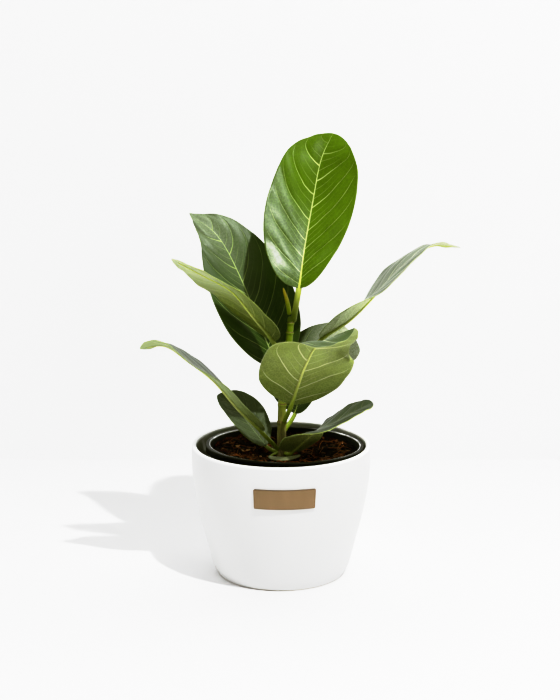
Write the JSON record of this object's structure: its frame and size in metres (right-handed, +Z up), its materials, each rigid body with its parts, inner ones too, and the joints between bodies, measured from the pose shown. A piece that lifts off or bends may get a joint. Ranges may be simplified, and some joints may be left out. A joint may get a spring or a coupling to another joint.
{
  "type": "potted ficus",
  "caption": "Young ficus plant with broad veined oval leaves on a short stem, in a black nursery pot standing inside a rounded white ceramic pot cover with a small brass plate.",
  "frame": {"origin": "centre of the pot cover's flat underside, on the surface it stands on", "axes": "+Z up along the pot's axis, -Y towards the front where the brass plate sits, +X to the viewer's right"},
  "size_m": [0.252, 0.1465, 0.3553],
  "materials": {
    "white_ceramic": "satin",
    "brass": "satin",
    "black_plastic": "satin",
    "potting_mix": "matte",
    "bark": "matte",
    "bud_skin": "satin",
    "leaf_stalk": "satin",
    "leaf": "satin",
    "young_leaf": "satin"
  },
  "bodies": {
    "root": {"pot_cover": "white_ceramic", "name_plate": "brass", "nursery_pot": "black_plastic", "potting_mix": "potting_mix", "stem": "bark", "bud_sheath": "bud_skin", "leaf_soil_front_blade": "leaf", "leaf_soil_front_stalk": "leaf_stalk", "leaf_low_back_left_blade": "leaf", "leaf_low_back_left_stalk": "leaf_stalk", "leaf_low_right_blade": "leaf", "leaf_low_right_stalk": "leaf_stalk", "leaf_low_left_blade": "leaf", "leaf_low_left_stalk": "leaf_stalk", "leaf_front_blade": "leaf", "leaf_front_stalk": "leaf_stalk", "leaf_back_right_blade": "leaf", "leaf_back_right_stalk": "leaf_stalk", "leaf_left_blade": "leaf", "leaf_left_stalk": "leaf_stalk", "leaf_back_left_blade": "leaf", "leaf_back_left_stalk": "leaf_stalk", "leaf_right_blade": "leaf", "leaf_right_stalk": "leaf_stalk", "leaf_top_blade": "young_leaf", "leaf_top_stalk": "leaf_stalk"}
  },
  "joints": []
}
